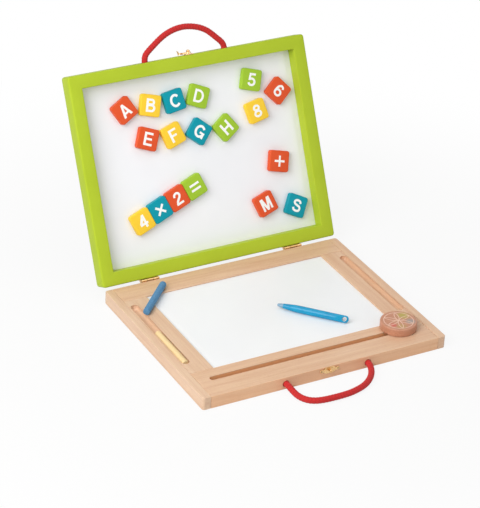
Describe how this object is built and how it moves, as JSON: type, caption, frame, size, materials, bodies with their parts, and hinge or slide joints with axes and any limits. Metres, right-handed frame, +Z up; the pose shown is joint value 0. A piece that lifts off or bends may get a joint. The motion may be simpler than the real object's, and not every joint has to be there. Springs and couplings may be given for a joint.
{
  "type": "magnetic board case",
  "caption": "Folding wooden board case: whiteboard lid with letter and number magnets, drawing screen with slide eraser, stylus, chalk, rope handles and a hook latch.",
  "frame": {"origin": "middle of the base's underside", "axes": "+Z up out of the base, +Y back towards the hinges, +X to the right seen from the front"},
  "size_m": [0.35, 0.4795, 0.3061],
  "materials": {
    "beech": "clear satin beech",
    "beech_inside": "unfinished beech board",
    "lid_green_paint": "semi-gloss lime green paint on wood",
    "whiteboard": "gloss white dry-wipe face",
    "chalkboard": "matt slate paint on hardboard",
    "screen": "satin translucent white drawing screen",
    "knob_wood": "satin printed wood",
    "magnet": "matt bonded magnet",
    "white_plastic": "matt white",
    "brass": "polished brass plate",
    "red_rope": "braided red cotton",
    "stylus_blue": "gloss translucent blue",
    "blue_chalk": "dusty matt blue chalk",
    "yellow_chalk": "dusty matt yellow chalk",
    "tile_red": "satin red-orange",
    "tile_yellow": "satin yellow",
    "tile_teal": "satin teal",
    "tile_green": "satin green"
  },
  "bodies": {
    "base": {"base_left_rail": "beech", "base_right_rail": "beech", "base_front_board": "beech", "base_rear_board": "beech", "base_left_board": "beech", "base_right_board": "beech", "base_bottom_panel": "beech_inside", "drawing_screen": "screen", "latch_catch": "brass", "left_hinge_base_leaf": "brass", "right_hinge_base_leaf": "brass", "left_hinge_pin": "brass", "right_hinge_pin": "brass", "base_handle_rope": "red_rope"},
    "lid": {"lid_left_rail": "lid_green_paint", "lid_right_rail": "lid_green_paint", "lid_bottom_rail": "lid_green_paint", "lid_top_rail": "lid_green_paint", "whiteboard_panel": "whiteboard", "chalkboard_panel": "chalkboard", "left_hinge_lid_leaf": "brass", "right_hinge_lid_leaf": "brass", "latch_plate": "brass", "latch_rivet": "brass", "lid_handle_rope": "red_rope"},
    "hook": {"latch_hook": "brass"},
    "eraser": {"slider_knob": "knob_wood", "slider_spindle": "white_plastic", "eraser_bar": "white_plastic", "eraser_magnet": "magnet"},
    "stylus": {"stylus_body": "stylus_blue", "stylus_tip": "magnet"},
    "blue_chalk": {"chalk_blue": "blue_chalk"},
    "yellow_chalk": {"chalk_yellow": "yellow_chalk"},
    "magnet_tile_A": {"tile_A": "tile_red"},
    "magnet_tile_B": {"tile_B": "tile_yellow"},
    "magnet_tile_C": {"tile_C": "tile_teal"},
    "magnet_tile_D": {"tile_D": "tile_green"},
    "magnet_tile_E": {"tile_E": "tile_red"},
    "magnet_tile_F": {"tile_F": "tile_yellow"},
    "magnet_tile_G": {"tile_G": "tile_teal"},
    "magnet_tile_H": {"tile_H": "tile_green"},
    "magnet_tile_5": {"tile_5": "tile_green"},
    "magnet_tile_6": {"tile_6": "tile_red"},
    "magnet_tile_8": {"tile_8": "tile_yellow"},
    "magnet_tile_plus": {"tile_plus": "tile_red"},
    "magnet_tile_M": {"tile_M": "tile_red"},
    "magnet_tile_S": {"tile_S": "tile_teal"},
    "magnet_tile_4": {"tile_4": "tile_yellow"},
    "magnet_tile_times": {"tile_times": "tile_teal"},
    "magnet_tile_2": {"tile_2": "tile_red"},
    "magnet_tile_equals": {"tile_equals": "tile_green"}
  },
  "joints": [
    {"name": "lid_hinge", "type": "hinge", "parent": "base", "child": "lid", "pos_m": [0, 0.1411, 0.0185], "axis": [-1, 0, 0], "range_deg": [-114.7, 0]},
    {"name": "latch_hook_pivot", "type": "hinge", "parent": "lid", "child": "hook", "pos_m": [0.0026, 0.26452, 0.27213], "axis": [0, 0.4183, 0.9083], "range_deg": [-90, 90]},
    {"name": "eraser_slide", "type": "slide", "parent": "base", "child": "eraser", "axis": [-1, 0, 0], "range_m": [-0.0035, 0.2724]},
    {"name": "stylus_lift", "type": "slide", "parent": "base", "child": "stylus", "axis": [0, 0, 1], "range_m": [0, 0.05]},
    {"name": "blue_chalk_lift", "type": "slide", "parent": "base", "child": "blue_chalk", "axis": [0, 0, 1], "range_m": [0, 0.04]},
    {"name": "yellow_chalk_lift", "type": "slide", "parent": "base", "child": "yellow_chalk", "axis": [0, 0, 1], "range_m": [0, 0.04]},
    {"name": "tile_A_lift", "type": "slide", "parent": "lid", "child": "magnet_tile_A", "axis": [0, -0.9083, 0.4183], "range_m": [0, 0.04]},
    {"name": "tile_B_lift", "type": "slide", "parent": "lid", "child": "magnet_tile_B", "axis": [0, -0.9083, 0.4183], "range_m": [0, 0.04]},
    {"name": "tile_C_lift", "type": "slide", "parent": "lid", "child": "magnet_tile_C", "axis": [0, -0.9083, 0.4183], "range_m": [0, 0.04]},
    {"name": "tile_D_lift", "type": "slide", "parent": "lid", "child": "magnet_tile_D", "axis": [0, -0.9083, 0.4183], "range_m": [0, 0.04]},
    {"name": "tile_E_lift", "type": "slide", "parent": "lid", "child": "magnet_tile_E", "axis": [0, -0.9083, 0.4183], "range_m": [0, 0.04]},
    {"name": "tile_F_lift", "type": "slide", "parent": "lid", "child": "magnet_tile_F", "axis": [0, -0.9083, 0.4183], "range_m": [0, 0.04]},
    {"name": "tile_G_lift", "type": "slide", "parent": "lid", "child": "magnet_tile_G", "axis": [0, -0.9083, 0.4183], "range_m": [0, 0.04]},
    {"name": "tile_H_lift", "type": "slide", "parent": "lid", "child": "magnet_tile_H", "axis": [0, -0.9083, 0.4183], "range_m": [0, 0.04]},
    {"name": "tile_5_lift", "type": "slide", "parent": "lid", "child": "magnet_tile_5", "axis": [0, -0.9083, 0.4183], "range_m": [0, 0.04]},
    {"name": "tile_6_lift", "type": "slide", "parent": "lid", "child": "magnet_tile_6", "axis": [0, -0.9083, 0.4183], "range_m": [0, 0.04]},
    {"name": "tile_8_lift", "type": "slide", "parent": "lid", "child": "magnet_tile_8", "axis": [0, -0.9083, 0.4183], "range_m": [0, 0.04]},
    {"name": "tile_plus_lift", "type": "slide", "parent": "lid", "child": "magnet_tile_plus", "axis": [0, -0.9083, 0.4183], "range_m": [0, 0.04]},
    {"name": "tile_M_lift", "type": "slide", "parent": "lid", "child": "magnet_tile_M", "axis": [0, -0.9083, 0.4183], "range_m": [0, 0.04]},
    {"name": "tile_S_lift", "type": "slide", "parent": "lid", "child": "magnet_tile_S", "axis": [0, -0.9083, 0.4183], "range_m": [0, 0.04]},
    {"name": "tile_4_lift", "type": "slide", "parent": "lid", "child": "magnet_tile_4", "axis": [0, -0.9083, 0.4183], "range_m": [0, 0.04]},
    {"name": "tile_times_lift", "type": "slide", "parent": "lid", "child": "magnet_tile_times", "axis": [0, -0.9083, 0.4183], "range_m": [0, 0.04]},
    {"name": "tile_2_lift", "type": "slide", "parent": "lid", "child": "magnet_tile_2", "axis": [0, -0.9083, 0.4183], "range_m": [0, 0.04]},
    {"name": "tile_equals_lift", "type": "slide", "parent": "lid", "child": "magnet_tile_equals", "axis": [0, -0.9083, 0.4183], "range_m": [0, 0.04]}
  ]
}
